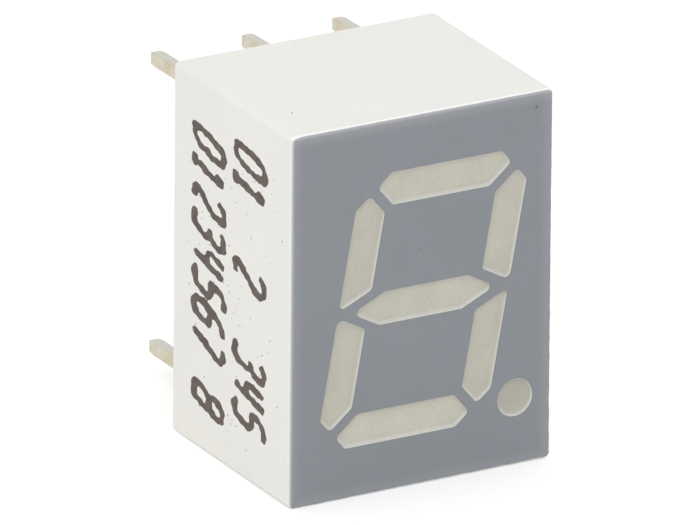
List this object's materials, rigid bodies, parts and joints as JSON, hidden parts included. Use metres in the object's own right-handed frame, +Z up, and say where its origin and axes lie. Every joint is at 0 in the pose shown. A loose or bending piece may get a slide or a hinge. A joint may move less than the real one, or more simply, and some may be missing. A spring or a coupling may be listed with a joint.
{
  "type": "seven segment display",
  "caption": "Single-digit seven segment LED display with a decimal point, in a white moulded housing with a grey printed face and through-hole leads at the back.",
  "frame": {"origin": "middle of the lead pattern on the seating plane, which is the back rim of the housing", "axes": "+Y out of the back along the leads, +Z up the digit, +X to the right as the digit is read, display face towards -Y"},
  "size_m": [0.0072, 0.0089, 0.0096],
  "materials": {
    "white_plastic": "fine matt moulded plastic",
    "grey_print": "matt printed ink",
    "milky_resin": "milky cast resin, satin",
    "laminate": "glass-fibre laminate",
    "solder": "bright solder",
    "tinned_metal": "dull tin plating",
    "chip": "polished crystal",
    "gold": "drawn gold wire"
  },
  "bodies": {
    "root": {"housing": "white_plastic", "face_print": "grey_print", "cast_resin": "milky_resin", "circuit_board": "laminate", "solder_joints": "solder", "lead_1": "tinned_metal", "lead_2": "tinned_metal", "lead_3": "tinned_metal", "lead_4": "tinned_metal", "lead_5": "tinned_metal", "lead_6": "tinned_metal", "lead_7": "tinned_metal", "lead_8": "tinned_metal", "lead_9": "tinned_metal", "lead_10": "tinned_metal", "chip_a": "chip", "chip_b": "chip", "chip_c": "chip", "chip_d": "chip", "chip_e": "chip", "chip_f": "chip", "chip_g": "chip", "chip_dp": "chip", "wire_a": "gold", "wire_b": "gold", "wire_c": "gold", "wire_d": "gold", "wire_e": "gold", "wire_f": "gold", "wire_g": "gold", "wire_dp": "gold"}
  },
  "joints": []
}
